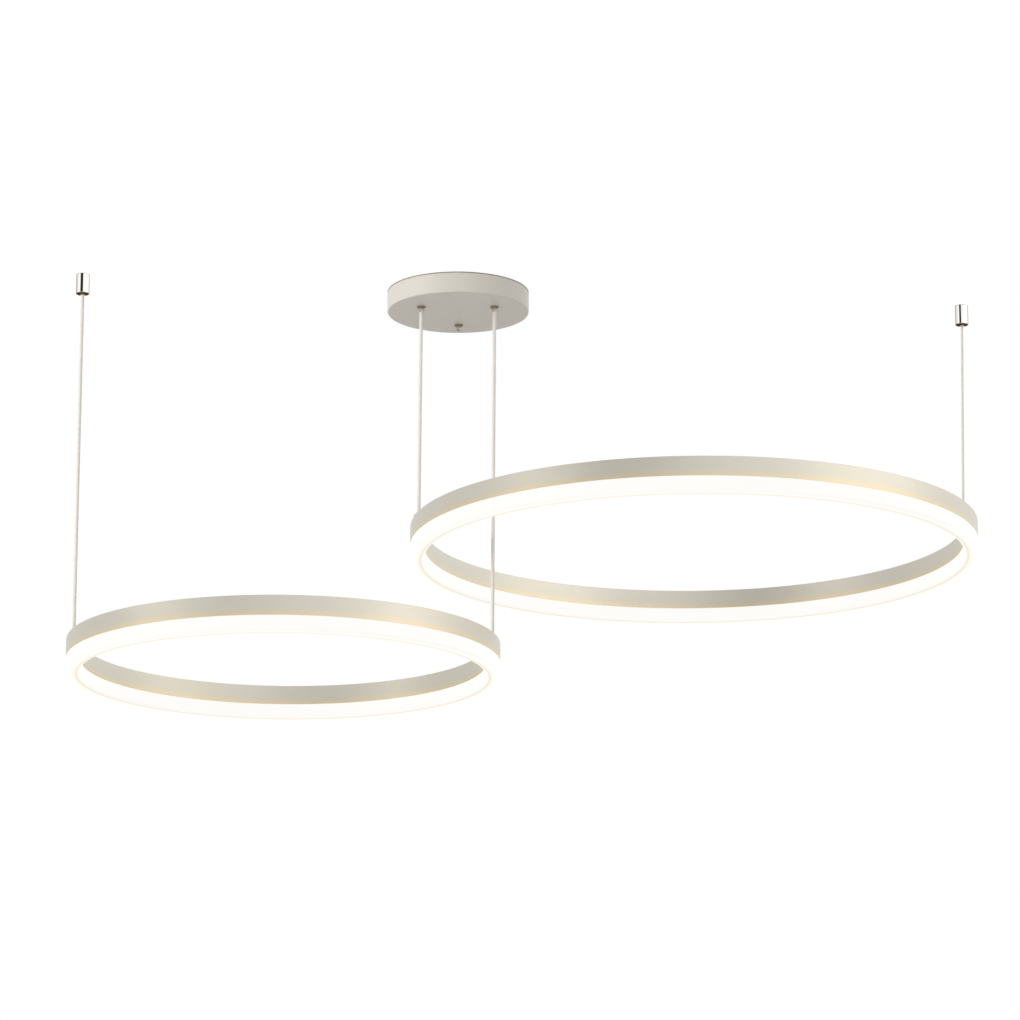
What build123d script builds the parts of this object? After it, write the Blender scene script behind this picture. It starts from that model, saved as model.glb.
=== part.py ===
from build123d import *
import os
from math import cos, degrees, floor, pi, radians, sin, sqrt

# A pendant light with two lit rings at different heights, hung from a round canopy and two ceiling anchors.
# The origin is the middle of the canopy on the ceiling. +Z points up into the ceiling, +X runs to the large
# ring's anchor, and +Y points away from someone who looks at the light from the front. Lengths are in mm.

# Canopy dish
canopy_diameter = 202.0
canopy_height = 30.0
cover_wall = 1.2
cover_edge_radius = 2.0
outlet_circle_radius = 60.0
outlet_angles = {"left": 210.0, "right": 330.0, "rear": 90.0}

# Where the rings hang: how far the top of each channel is below the ceiling, how far the line through the
# two fittings of a ring is turned from +X, and the small offsets between what hangs and what carries it
large_ring_diameter = 800.0
small_ring_diameter = 600.0
large_ring_drop = 344.0
small_ring_drop = 527.0
large_ring_angle = 7.0
small_ring_angle = 185.5
large_ring_shift = -2.0
small_ring_shift = -2.5
right_anchor_shift = 6.0

# Ring profile: an aluminium channel with a closed duct above an open bay, and an opal band below
profile_width = 20.0
channel_height = 27.0
channel_wall = 1.5
duct_height = 12.5
channel_edge_radius = 0.5
diffuser_drop = 21.0
diffuser_wall = 2.0
diffuser_corner_radius = 4.5
diffuser_tongue = 5.0
diffuser_clearance = 0.15

# Seam of the rolled channel and the bar that closes it, placed along the centre line from the anchor fitting
seam_gap = 0.3
seam_distance = 24.0
joiner_length = 30.0
joiner_height = 9.0
joiner_clearance = 0.3
grub_radius = 2.0
grub_offsets = (-11.0, -5.0, 5.0, 11.0)
grub_sink = 1.5
grub_key_flats = 2.0
key_hole_radius = 1.4

# Light source
strip_width = 10.0
strip_thickness = 0.4
strip_gap = 4.0
chip_pitch = 25.0
chip_length = 3.5
chip_width = 2.8
chip_height = 0.9

# Cords
power_cord_radius = 2.5
left_anchor_cord_radius = 2.5
right_anchor_cord_radius = 1.75
cord_end_gap = 0.4
cord_clearance = 0.2

# Ball end of a cord and the socket that holds it on top of a channel
ball_radius = 4.5
ball_clearance = 0.08
ball_height = 5.2
neck_radius = 3.2
neck_rise = 6.3
socket_radius = 7.0
socket_flange = 2.0
socket_skirt_wall = 1.25
socket_cap_rise = 4.2
socket_cap_gap = 0.1
socket_mouth_radius = 3.85
stem_radius = 4.0
stem_bore_radius = 1.8
nut_flats = 13.0
nut_thickness = 4.0

# Lead from the socket to the strip, along the channel
ring_lead_radius = 1.2
ring_lead_run = 14.0
ring_lead_bend = 2.4
ring_lead_depth = 9.5

# Cord gripper: sizes measured up from the mouth, the lower face of the part that holds it
guide_height = 5.0
cone_height = 4.0
gripper_height = 18.0
gripper_bore_radius = 4.2
shank_radius = 3.2
running_clearance = 0.1
outlet_travel = 2.5
retainer_height = 3.0
spring_wire_radius = 0.3
spring_coil_radius = 3.5
spring_pitch = 1.25
spring_end_gap = 0.15
collet_slit = 0.6
outlet_tip_length = 3.2
outlet_tip_radius = 3.7
outlet_tip_end_radius = 3.0
anchor_travel = 1.5
anchor_tip_length = 0.6
anchor_tip_end_radius = 3.0
gripper_thread_radius = 5.0
gripper_flange_radius = 6.2
gripper_flange_height = 2.0
gripper_nut_flats = 14.0
gripper_nut_height = 3.0
tail_rise = 2.0
pin_stub_radius = 1.3
pin_stub_length = 1.8

# Ceiling anchors
anchor_diameter = 18.6
anchor_height = 28.5
anchor_edge_radius = 0.8
anchor_base_radius = 7.5
anchor_base_height = 7.0
anchor_chamber_depth = 10.0
anchor_screw_radius = 2.2
anchor_sink_radius = 4.2
anchor_sink_depth = 2.5

# Mounting strap and its screws
strap_width = 30.0
strap_thickness = 2.0
strap_clearance = 2.8
lug_drop = 14.0
slot_spacing = 70.0
slot_length = 16.0
slot_radius = 2.5
mains_hole_radius = 6.0
mains_hole_offset = 16.0
screw_radius = 1.95
screw_head_radius = 3.6
screw_head_height = 1.2
screw_slot_width = 0.9
screw_slot_depth = 0.7
cover_screw_drop = 9.0
cover_screw_reach = 9.0
cover_screw_head_radius = 3.2
cover_screw_sink = 0.1
earth_screw_offset = 18.0
washer_radius = 4.5
washer_thickness = 0.8
thread_clearance = 0.05
hole_clearance = 0.2

# Mains parts inside the dish
driver_length = 120.0
driver_width = 29.0
driver_height = 20.0
driver_edge_radius = 2.0
driver_middle_y = -1.5
driver_gap = 2.0
pad_thickness = 1.0
pad_length = 20.0
pad_width = 16.0
terminal_length = 30.0
terminal_width = 20.0
terminal_height = 16.0
terminal_pole_pitch = 9.0
terminal_middle_y = -48.0
terminal_hole_radius = 1.7
terminal_hole_depth = 6.0
terminal_well_radius = 2.0
terminal_well_depth = 9.0
terminal_screw_height = 6.0
lead_radius = 1.5
lead_bend = 4.0
lead_run = 12.0
lead_wall_clearance = 3.0
lead_low_height = 6.5
lead_high_depth = 6.0

# How far a cutting tool runs past the face that it cuts
overrun = 1.0

# Places worked out from the sizes above
canopy_radius = canopy_diameter / 2
dish_radius = canopy_radius - cover_wall
strap_reach = dish_radius - strap_clearance
floor_z = cover_wall - canopy_height
outlet_mouth_z = -canopy_height - gripper_flange_height
outlet_end_z = outlet_mouth_z - outlet_travel - running_clearance - outlet_tip_length
anchor_end_z = -anchor_height - anchor_travel - running_clearance - anchor_tip_length
cone_top_height = guide_height + cone_height
shelf_z = -channel_wall - duct_height
bay_z = shelf_z - channel_wall
anchor_radius = anchor_diameter / 2


def outlet_place(side):
    angle = radians(outlet_angles[side])
    return (outlet_circle_radius * cos(angle), outlet_circle_radius * sin(angle))


def ring_place(diameter, side, angle, shift, drop):
    # The power fitting, at -X in the ring's own frame, hangs below its outlet, moved sideways by the shift.
    reach = diameter / 2 - profile_width / 2
    x, y = outlet_place(side)
    centre_x = x + shift + reach * cos(radians(angle))
    centre_y = y + reach * sin(radians(angle))
    return Location((centre_x, centre_y, -drop), (0, 0, angle))


large_place = ring_place(large_ring_diameter, "left", large_ring_angle, large_ring_shift, large_ring_drop)
small_place = ring_place(small_ring_diameter, "right", small_ring_angle, small_ring_shift, small_ring_drop)
rings = {"large": (large_ring_diameter, large_place), "small": (small_ring_diameter, small_place)}


def fitting_point(ring, side, height):
    diameter, place = rings[ring]
    reach = diameter / 2 - profile_width / 2
    across = -reach if side == "power" else reach
    return (place * Pos(across, 0, height)).position


# The anchors stand above the rings' anchor fittings
anchor_shifts = {"left": 0.0, "right": right_anchor_shift}
anchor_rings = {"left": "small", "right": "large"}
anchor_cord_radii = {"left": left_anchor_cord_radius, "right": right_anchor_cord_radius}


def anchor_place(side):
    point = fitting_point(anchor_rings[side], "anchor", 0)
    return (point.X + anchor_shifts[side], point.Y)


def rod(radius, bottom, top):
    return Pos(0, 0, (bottom + top) / 2) * Cylinder(radius, top - bottom)


def tube(outer, inner, bottom, top):
    return rod(outer, bottom, top) - rod(inner, bottom - overrun, top + overrun)


def cone(lower, upper, bottom, top):
    return Pos(0, 0, (bottom + top) / 2) * Cone(lower, upper, top - bottom)


def hexagon_nut(flats, hole, bottom, top):
    blank = extrude(Pos(0, 0, bottom) * RegularPolygon(flats / 2, 6, major_radius=False), amount=top - bottom)
    return blank - rod(hole, bottom - overrun, top + overrun)


def block(x_size, y_size, z_size, bottom):
    return Pos(0, 0, bottom + z_size / 2) * Box(x_size, y_size, z_size)


def bent_tube(points, radius, bend):
    path = FilletPolyline(*points, radius=bend)
    section = Plane(origin=path @ 0, z_dir=path % 0) * Circle(radius)
    return sweep(section, path=path)


def group(solids):
    return Compound(children=list(solids))


# Ceiling unit


def mounting_strap():
    plate = block(2 * strap_reach, strap_width, strap_thickness, -strap_thickness)
    lug = block(strap_thickness, strap_width, lug_drop, -lug_drop)
    for x in (strap_thickness / 2 - strap_reach, strap_reach - strap_thickness / 2):
        plate += Pos(x, 0, 0) * lug
    slot = SlotOverall(slot_length, 2 * slot_radius)
    for x in (-slot_spacing / 2, slot_spacing / 2):
        plate -= extrude(Pos(x, 0, overrun) * slot, amount=-strap_thickness - 2 * overrun)
    depth = -strap_thickness - overrun
    plate -= Pos(mains_hole_offset, 0, 0) * rod(mains_hole_radius, depth, overrun)
    plate -= Pos(-earth_screw_offset, 0, 0) * rod(screw_radius + thread_clearance, depth, overrun)
    screw_axis = Pos(0, 0, -cover_screw_drop) * Rot(0, 90, 0)
    return plate - screw_axis * rod(screw_radius + thread_clearance, -canopy_radius, canopy_radius)


def canopy_cover():
    dish = rod(canopy_radius, -canopy_height, 0)
    dish = fillet(dish.edges().group_by(Axis.Z)[0], cover_edge_radius)
    inside = rod(dish_radius, floor_z, overrun)
    inside = fillet(inside.edges().group_by(Axis.Z)[0], max(cover_edge_radius - cover_wall, cover_wall / 2))
    cover = dish - inside
    for side in outlet_angles:
        hole = rod(gripper_thread_radius + running_clearance, -canopy_height - overrun, floor_z + overrun)
        cover -= Pos(*outlet_place(side), 0) * hole
    hole = rod(screw_radius + hole_clearance, 0, cover_screw_reach)
    hole += rod(cover_screw_head_radius + hole_clearance, -overrun, 0)
    hole += cone(cover_screw_head_radius + hole_clearance, screw_radius + hole_clearance, 0, cover_wall)
    hole = cover_screw_place(0) * hole
    return cover - hole - mirror(hole, about=Plane.YZ)


def pan_screw(shank_length):
    # Head below the seat at z = 0, shank upwards
    head = rod(screw_head_radius, -screw_head_height, 0)
    head = chamfer(head.edges().group_by(Axis.Z)[0], screw_head_height / 3)
    slot = block(2 * screw_head_radius, screw_slot_width, screw_slot_depth, -screw_head_height)
    return head + rod(screw_radius, 0, shank_length) - slot


def cover_screw_place(sink):
    # On the dish's side at +X, with +Z pointing into the dish
    return Pos(canopy_radius - sink, 0, -cover_screw_drop) * Rot(0, -90, 0)


def cover_screws():
    # Countersunk, so that nothing stands out from the dish
    screw = cone(cover_screw_head_radius, screw_radius, 0, cover_wall)
    screw += rod(screw_radius, cover_wall, cover_screw_reach)
    screw -= block(2 * canopy_height, screw_slot_width, screw_slot_depth + overrun, -overrun)
    screw = cover_screw_place(cover_screw_sink) * screw
    return group([screw, mirror(screw, about=Plane.YZ)])


def earth_screw():
    place = Pos(-earth_screw_offset, 0, -strap_thickness)
    washer = place * tube(washer_radius, screw_radius + hole_clearance, -washer_thickness, 0)
    screw = pan_screw(washer_thickness + strap_thickness - hole_clearance)
    return group([place * Pos(0, 0, -washer_thickness) * screw, washer])


def driver_middles():
    return {"large": driver_middle_y, "small": driver_middle_y + driver_width + driver_gap}


def driver(ring):
    case = block(driver_length, driver_width, driver_height, floor_z + pad_thickness)
    case = fillet(case.edges(), driver_edge_radius)
    return Pos(0, driver_middles()[ring], 0) * case


def mounting_pads():
    pad = block(pad_length, pad_width, pad_thickness, floor_z)
    pads = [Pos(0, terminal_middle_y, 0) * pad]
    for middle in driver_middles().values():
        for x in (-driver_length / 4, driver_length / 4):
            pads.append(Pos(x, middle, 0) * pad)
    return group(pads)


def terminal_poles():
    return [pole * terminal_pole_pitch for pole in (-1, 0, 1)]


def terminal_block():
    bottom = floor_z + pad_thickness
    top = bottom + terminal_height
    body = block(terminal_length, terminal_width, terminal_height, bottom)
    for x in terminal_poles():
        for way in (-1, 1):
            hole = Rot(90, 0, 0) * rod(terminal_hole_radius, -terminal_hole_depth, terminal_hole_depth)
            body -= Pos(x, way * terminal_width / 2, lead_height()) * hole
            well = rod(terminal_well_radius, top - terminal_well_depth, top + overrun)
            body -= Pos(x, way * terminal_width / 4, 0) * well
    return Pos(0, terminal_middle_y, 0) * body


def terminal_screws():
    base = floor_z + pad_thickness + terminal_height - terminal_well_depth
    screw = rod(terminal_well_radius - running_clearance, base, base + terminal_screw_height)
    top = base + terminal_screw_height - screw_slot_depth
    screw -= block(2 * terminal_well_radius, screw_slot_width, screw_slot_depth + overrun, top)
    places = [(x, way * terminal_width / 4) for x in terminal_poles() for way in (-1, 1)]
    return group([Pos(x, terminal_middle_y + y, 0) * screw for x, y in places])


def lead_height():
    return floor_z + lead_low_height


def canopy_leads():
    # Two mains leads from the terminal to the drivers, and two output leads from the drivers to the cords
    large_y, small_y = driver_middles().values()
    low = lead_height()
    high = -lead_high_depth
    middle = floor_z + pad_thickness + driver_height / 2
    end_x = driver_length / 2
    wall_x = sqrt((dish_radius - lead_radius - lead_wall_clearance) ** 2 - small_y**2)
    side_x = (end_x + wall_x) / 2
    quarter = driver_width / 4
    near_y = terminal_middle_y - terminal_width / 2
    corridor_y = large_y - driver_width / 2 - 2 * lead_radius
    tail_top = outlet_mouth_z + gripper_height + tail_rise
    left_x, left_y = outlet_place("left")
    right_x, right_y = outlet_place("right")
    mains_large = [
        (terminal_pole_pitch, terminal_middle_y + terminal_width / 2, low),
        (terminal_pole_pitch, corridor_y, low),
        (side_x, corridor_y, low),
        (side_x, large_y - quarter, low),
        (end_x, large_y - quarter, low),
    ]
    mains_small = [
        (-terminal_pole_pitch, near_y, low),
        (-terminal_pole_pitch, near_y - lead_run, low),
        (left_x, near_y - lead_run, low),
        (-wall_x, left_y, low),
        (-wall_x, small_y, low),
        (-end_x, small_y, low),
    ]
    output_large = [
        (-end_x, large_y, middle),
        (-side_x, large_y, middle),
        (-side_x, left_y + lead_run, high),
        (left_x, left_y, high),
        (left_x, left_y, tail_top),
    ]
    output_small = [
        (end_x, small_y, middle),
        (side_x, small_y, middle),
        (side_x, right_y + lead_run, high),
        (right_x, right_y, high),
        (right_x, right_y, tail_top),
    ]
    routes = (mains_large, mains_small, output_large, output_small)
    return group([bent_tube(points, lead_radius, lead_bend) for points in routes])


# Cord grippers, drawn with the mouth at z = 0


def gripper_bore():
    guide = rod(shank_radius + running_clearance, -overrun, guide_height)
    taper = cone(shank_radius + running_clearance, gripper_bore_radius, guide_height, cone_top_height)
    return guide + taper + rod(gripper_bore_radius, cone_top_height, gripper_height + overrun)


def outlet_gripper_body():
    flange = rod(gripper_flange_radius, 0, gripper_flange_height)
    flange = chamfer(flange.edges().group_by(Axis.Z)[0], gripper_flange_height / 4)
    return flange + rod(gripper_thread_radius, gripper_flange_height, gripper_height) - gripper_bore()


def plunger(cord_radius, travel, tip_length, tip_radius, tip_end_radius):
    # A conical tip below the mouth, a shank in the guide, and a slit conical head that closes on the cord
    tip_top = -travel - running_clearance
    tip = cone(tip_end_radius, tip_radius, tip_top - tip_length, tip_top)
    head_radius = gripper_bore_radius - running_clearance
    head = cone(shank_radius, head_radius, guide_height, cone_top_height)
    body = tip + rod(shank_radius, tip_top, guide_height) + head
    body -= rod(cord_radius + cord_clearance, tip_top - tip_length - overrun, cone_top_height + overrun)
    slit = block(2 * gripper_bore_radius, collet_slit, cone_top_height + overrun, guide_height / 2)
    return body - slit - Rot(0, 0, 90) * slit


def outlet_plunger():
    tip = (outlet_tip_length, outlet_tip_radius, outlet_tip_end_radius)
    return plunger(power_cord_radius, outlet_travel, *tip)


def anchor_plunger(side):
    tip = (anchor_tip_length, shank_radius, anchor_tip_end_radius)
    return plunger(anchor_cord_radii[side], anchor_travel, *tip)


def gripper_nut():
    bottom = floor_z - outlet_mouth_z
    top = bottom + gripper_nut_height
    return hexagon_nut(gripper_nut_flats, gripper_thread_radius + thread_clearance, bottom, top)


def gripper_spring():
    bottom = cone_top_height + spring_wire_radius + spring_end_gap
    top = gripper_height - retainer_height - spring_wire_radius - spring_end_gap
    path = Pos(0, 0, bottom) * Helix(spring_pitch, top - bottom, spring_coil_radius)
    section = Plane(origin=path @ 0, z_dir=path % 0) * Circle(spring_wire_radius)
    return sweep(section, path=path, is_frenet=True)


def gripper_retainer():
    outer = gripper_bore_radius - thread_clearance
    inner = power_cord_radius + cord_clearance
    ring = tube(outer, inner, gripper_height - retainer_height, gripper_height)
    bottom = gripper_height - screw_slot_depth
    return ring - block(2 * gripper_bore_radius, screw_slot_width, screw_slot_depth + overrun, bottom)


def anchor_barrel():
    body = rod(anchor_radius, 0, anchor_height)
    body = fillet(body.edges().group_by(Axis.Z)[0], anchor_edge_radius)
    chamber_radius = anchor_base_radius + running_clearance
    chamber = rod(chamber_radius, anchor_height - anchor_chamber_depth, anchor_height + overrun)
    return body - gripper_bore() - chamber


def anchor_base():
    disc = rod(anchor_base_radius, -anchor_base_height, 0)
    disc -= rod(anchor_screw_radius, -anchor_base_height - overrun, overrun)
    sink_top = anchor_sink_depth - anchor_base_height
    return disc - cone(anchor_sink_radius, anchor_screw_radius, -anchor_base_height, sink_top)


def outlet_mouth(side):
    return Pos(*outlet_place(side), outlet_mouth_z)


def anchor_mouth(side):
    return Pos(*anchor_place(side), -anchor_height)


def cord_tails():
    top = gripper_height + tail_rise
    tails = []
    for side in ("left", "right"):
        tails.append(outlet_mouth(side) * rod(power_cord_radius, outlet_end_z - outlet_mouth_z, top))
        anchor_tail = rod(anchor_cord_radii[side], anchor_end_z + anchor_height, gripper_height)
        tails.append(anchor_mouth(side) * anchor_tail)
    return group(tails)


def rear_blanking_pin():
    pin = rod(power_cord_radius, outlet_end_z - outlet_mouth_z, gripper_height)
    stub_top = outlet_end_z - outlet_mouth_z
    stub = rod(pin_stub_radius, stub_top - pin_stub_length, stub_top)
    stub = fillet(stub.edges().group_by(Axis.Z)[0], pin_stub_radius / 2)
    return outlet_mouth("rear") * (pin + stub)


# Rings, drawn with the centre at the origin, the channel's top at z = 0 and the anchor fitting at +X


def centre_radius(diameter):
    return diameter / 2 - profile_width / 2


def along(diameter, distance):
    # A turn about the ring's axis that moves a point of the centre line by the distance
    return Rot(0, 0, degrees(distance / centre_radius(diameter)))


def band(diameter, width, bottom, top):
    middle = centre_radius(diameter)
    return Pos(middle, (bottom + top) / 2) * Rectangle(width, top - bottom)


def turned(section, arc=360.0):
    return revolve(Plane.XZ * section, axis=Axis.Z, revolution_arc=arc)


def channel(diameter):
    bay_width = profile_width - 2 * channel_wall
    section = band(diameter, profile_width, -channel_height, 0)
    section = fillet(section.vertices().group_by(Axis.Y)[-1], channel_edge_radius)
    section -= band(diameter, bay_width, shelf_z, -channel_wall)
    section -= band(diameter, bay_width, -channel_height - overrun, bay_z)
    ring = turned(section)
    middle = centre_radius(diameter)
    stem_hole = rod(stem_radius + running_clearance, -channel_wall - overrun, overrun)
    for x in (-middle, middle):
        ring -= Pos(x, 0, 0) * stem_hole
    lead_hole = rod(ring_lead_radius + hole_clearance, bay_z - overrun, shelf_z + overrun)
    ring -= Pos(-middle, -ring_lead_run, 0) * lead_hole
    key_hole = rod(key_hole_radius, -channel_wall - overrun, overrun)
    for distance in grub_distances():
        ring -= along(diameter, distance) * Pos(middle, 0, 0) * key_hole
    cut_height = channel_height + 2 * overrun
    seam = block(profile_width + 2 * overrun, seam_gap, cut_height, -channel_height - overrun)
    return ring - along(diameter, seam_distance) * Pos(middle, 0, 0) * seam


def grub_distances():
    return [seam_distance + offset for offset in grub_offsets]


def joiner(diameter):
    width = profile_width - 2 * channel_wall - 2 * joiner_clearance
    top = -channel_wall
    middle = centre_radius(diameter)
    bar = turned(band(diameter, width, top - joiner_height, top), degrees(joiner_length / middle))
    bar = along(diameter, seam_distance - joiner_length / 2) * bar
    hole = rod(grub_radius + thread_clearance, top - joiner_height - overrun, top + overrun)
    for distance in grub_distances():
        bar -= along(diameter, distance) * Pos(middle, 0, 0) * hole
    return bar


def joiner_screws(diameter):
    # Turned through the holes in the channel's top, they push down on the shelf and lift the bar to the top
    top = -channel_wall - grub_sink
    key = Pos(0, 0, top) * RegularPolygon(grub_key_flats / 2, 6, major_radius=False)
    screw = rod(grub_radius, shelf_z, top) - extrude(key, amount=-grub_radius)
    middle = centre_radius(diameter)
    return group([along(diameter, distance) * Pos(middle, 0, 0) * screw for distance in grub_distances()])


def diffuser(diameter):
    bottom = -channel_height - diffuser_drop
    outer = band(diameter, profile_width, bottom, -channel_height)
    outer = fillet(outer.vertices().group_by(Axis.Y)[0], diffuser_corner_radius)
    inner_width = profile_width - 2 * diffuser_wall
    inner = band(diameter, inner_width, bottom + diffuser_wall, -channel_height - overrun)
    inner = fillet(inner.vertices().group_by(Axis.Y)[0], diffuser_corner_radius - diffuser_wall / 2)
    tongue_width = profile_width - 2 * channel_wall - 2 * diffuser_clearance
    tongue = band(diameter, tongue_width, -channel_height - diffuser_wall, -channel_height + diffuser_tongue)
    slot_width = tongue_width - 2 * diffuser_wall
    slot_bottom = -channel_height - diffuser_wall - overrun
    slot = band(diameter, slot_width, slot_bottom, -channel_height + diffuser_tongue + overrun)
    return turned(outer - inner + tongue - slot)


def led_strip(diameter):
    arc = 360.0 - degrees(strip_gap / centre_radius(diameter))
    section = band(diameter, strip_width, bay_z - strip_thickness, bay_z)
    return along(diameter, strip_gap / 2) * Rot(0, 0, 180) * turned(section, arc)


def led_chips(diameter):
    middle = centre_radius(diameter)
    count = floor(2 * pi * middle / chip_pitch)
    chip = block(chip_width, chip_length, chip_height, bay_z - strip_thickness - chip_height)
    turns = [(index + 1 / 2) * 360 / count for index in range(count)]
    return group([Rot(0, 0, 180 + turn) * Pos(middle, 0, 0) * chip for turn in turns])


def socket(bore_radius):
    # Flange on the channel, threaded cup up to the ball's middle, threaded stem down into the duct
    cup_radius = socket_radius - socket_skirt_wall - running_clearance
    body = rod(socket_radius, 0, socket_flange) + rod(cup_radius, socket_flange, ball_height)
    body += rod(stem_radius, -channel_wall - nut_thickness - running_clearance, 0)
    body -= Pos(0, 0, ball_height) * Sphere(ball_radius + ball_clearance)
    return body - rod(bore_radius, -channel_wall - nut_thickness - overrun, ball_height)


def socket_cap():
    bottom = socket_flange + socket_cap_gap
    top = ball_height + socket_cap_rise
    cap = rod(socket_radius, bottom, top)
    cap = chamfer(cap.edges().group_by(Axis.Z)[-1], socket_skirt_wall)
    cap -= rod(socket_radius - socket_skirt_wall, bottom - overrun, ball_height)
    cap -= Pos(0, 0, ball_height) * Sphere(ball_radius + ball_clearance)
    return cap - rod(socket_mouth_radius, ball_height, top + overrun)


def socket_nut():
    top = -channel_wall
    return hexagon_nut(nut_flats, stem_radius + thread_clearance, top - nut_thickness, top)


def cord_ball():
    ball = Pos(0, 0, ball_height) * Sphere(ball_radius)
    return ball + rod(neck_radius, ball_height, ball_height + neck_rise)


def ring_lead():
    # Down through the stem, along the duct and down through the shelf to the strip
    top = ball_height - ball_radius - ball_clearance - running_clearance
    end = bay_z
    points = [
        (0, 0, top),
        (0, 0, -ring_lead_depth),
        (0, -ring_lead_run, -ring_lead_depth),
        (0, -ring_lead_run, end),
    ]
    return bent_tube(points, ring_lead_radius, ring_lead_bend)


def at_both_fittings(diameter, piece):
    middle = centre_radius(diameter)
    return group([Pos(-middle, 0, 0) * piece, Pos(middle, 0, 0) * piece])


def ring_parts(ring):
    diameter, place = rings[ring]
    middle = centre_radius(diameter)
    local = {
        "channel": channel(diameter),
        "joiner": joiner(diameter),
        "joiner_screws": joiner_screws(diameter),
        "diffuser": diffuser(diameter),
        "led_strip": led_strip(diameter),
        "led_chips": led_chips(diameter),
        "power_socket": Pos(-middle, 0, 0) * socket(stem_bore_radius),
        "anchor_socket": Pos(middle, 0, 0) * socket(stem_bore_radius),
        "socket_caps": at_both_fittings(diameter, socket_cap()),
        "socket_nuts": at_both_fittings(diameter, socket_nut()),
        "cord_balls": at_both_fittings(diameter, cord_ball()),
        "ring_lead": Pos(-middle, 0, 0) * ring_lead(),
    }
    return {ring + "_" + name: place * shape for name, shape in local.items()}


# Cords: the free stretch of each, from its gripper's plunger down to its ball end


def free_cord(start, end, radius):
    way = (end - start).normalized()
    plane = Plane(origin=start + way * cord_end_gap, z_dir=way)
    return extrude(plane * Circle(radius), amount=(end - start).length - 2 * cord_end_gap)


def cords():
    power_sides = {"large": "left", "small": "right"}
    anchor_sides = {"large": "right", "small": "left"}
    stretches = {}
    for ring in rings:
        end_height = ball_height + neck_rise
        start = Vector(*outlet_place(power_sides[ring]), outlet_end_z)
        end = fitting_point(ring, "power", end_height)
        stretches[ring + "_power_cord"] = free_cord(start, end, power_cord_radius)
        side = anchor_sides[ring]
        start = Vector(*anchor_place(side), anchor_end_z)
        end = fitting_point(ring, "anchor", end_height)
        stretches[ring + "_anchor_cord"] = free_cord(start, end, anchor_cord_radii[side])
    return stretches


pieces = {
    "mounting_strap": mounting_strap(),
    "canopy_cover": canopy_cover(),
    "cover_screws": cover_screws(),
    "earth_screw": earth_screw(),
    "large_ring_driver": driver("large"),
    "small_ring_driver": driver("small"),
    "mounting_pads": mounting_pads(),
    "terminal_block": terminal_block(),
    "terminal_screws": terminal_screws(),
    "canopy_leads": canopy_leads(),
    "rear_blanking_pin": rear_blanking_pin(),
    "cord_tails": cord_tails(),
}

pieces["gripper_nuts"] = group([outlet_mouth(side) * gripper_nut() for side in outlet_angles])

mouths = {side: outlet_mouth(side) for side in outlet_angles}
mouths.update({side + "_anchor": anchor_mouth(side) for side in anchor_rings})
pieces["gripper_retainers"] = group([mouth * gripper_retainer() for mouth in mouths.values()])
for side, mouth in mouths.items():
    pieces[side + "_gripper_spring"] = mouth * gripper_spring()
for side in outlet_angles:
    pieces[side + "_gripper_body"] = outlet_mouth(side) * outlet_gripper_body()
    pieces[side + "_plunger"] = outlet_mouth(side) * outlet_plunger()
for side in anchor_rings:
    pieces[side + "_anchor_base"] = Pos(*anchor_place(side), 0) * anchor_base()
    pieces[side + "_anchor_barrel"] = anchor_mouth(side) * anchor_barrel()
    pieces[side + "_anchor_plunger"] = anchor_mouth(side) * anchor_plunger(side)

for ring in rings:
    pieces.update(ring_parts(ring))
pieces.update(cords())

os.makedirs("parts", exist_ok=True)
for name, shape in pieces.items():
    export_step(shape, "parts/" + name + ".step")
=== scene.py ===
from math import atan2, cos, hypot, pi, radians, sin, tau

import bmesh
import bpy
import numpy as np
from mathutils.geometry import tessellate_polygon
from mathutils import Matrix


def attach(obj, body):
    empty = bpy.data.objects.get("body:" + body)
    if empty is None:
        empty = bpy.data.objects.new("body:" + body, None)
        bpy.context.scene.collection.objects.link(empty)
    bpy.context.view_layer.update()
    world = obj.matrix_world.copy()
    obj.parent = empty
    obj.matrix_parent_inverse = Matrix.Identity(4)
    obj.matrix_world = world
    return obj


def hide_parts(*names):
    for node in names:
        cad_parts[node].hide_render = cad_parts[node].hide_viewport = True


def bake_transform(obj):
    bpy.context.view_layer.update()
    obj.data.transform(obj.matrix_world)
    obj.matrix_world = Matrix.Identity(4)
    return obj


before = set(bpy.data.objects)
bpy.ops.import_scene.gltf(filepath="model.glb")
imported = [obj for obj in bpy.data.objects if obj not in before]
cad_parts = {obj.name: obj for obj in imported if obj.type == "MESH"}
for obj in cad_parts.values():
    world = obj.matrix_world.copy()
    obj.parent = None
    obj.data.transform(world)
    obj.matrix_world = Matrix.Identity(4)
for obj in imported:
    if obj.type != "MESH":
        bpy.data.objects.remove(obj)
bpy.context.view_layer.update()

mm = 0.001

# Camera. It stands 5.8 m in front of the canopy and below both rings, and looks up at them with a long lens,
# so that the far side of each ring shows under the near side.
camera_place = (0.0741, -5.7515, -1.7915)
camera_rise = 14.346
camera_lens = 148.5


def linked(name, data):
    """A new object in the scene that holds a mesh, a lamp or a camera."""
    made = bpy.data.objects.new(name, data)
    bpy.context.scene.collection.objects.link(made)
    return made


camera_data = bpy.data.cameras.new("camera")
camera_data.lens = camera_lens
camera_data.sensor_width = 36.0
camera_data.clip_start = 0.1
camera_data.clip_end = 100.0
camera = linked("camera", camera_data)
camera.location = camera_place
camera.rotation_euler = (radians(90 + camera_rise), 0, 0)
bpy.context.scene.camera = camera

# Cords. Four round cords with a steel core under a smooth extruded jacket. Two carry the current down from
# the canopy and two hang from the ceiling anchors. Each runs taut from its gripper to the sleeve of its ball.


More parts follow.
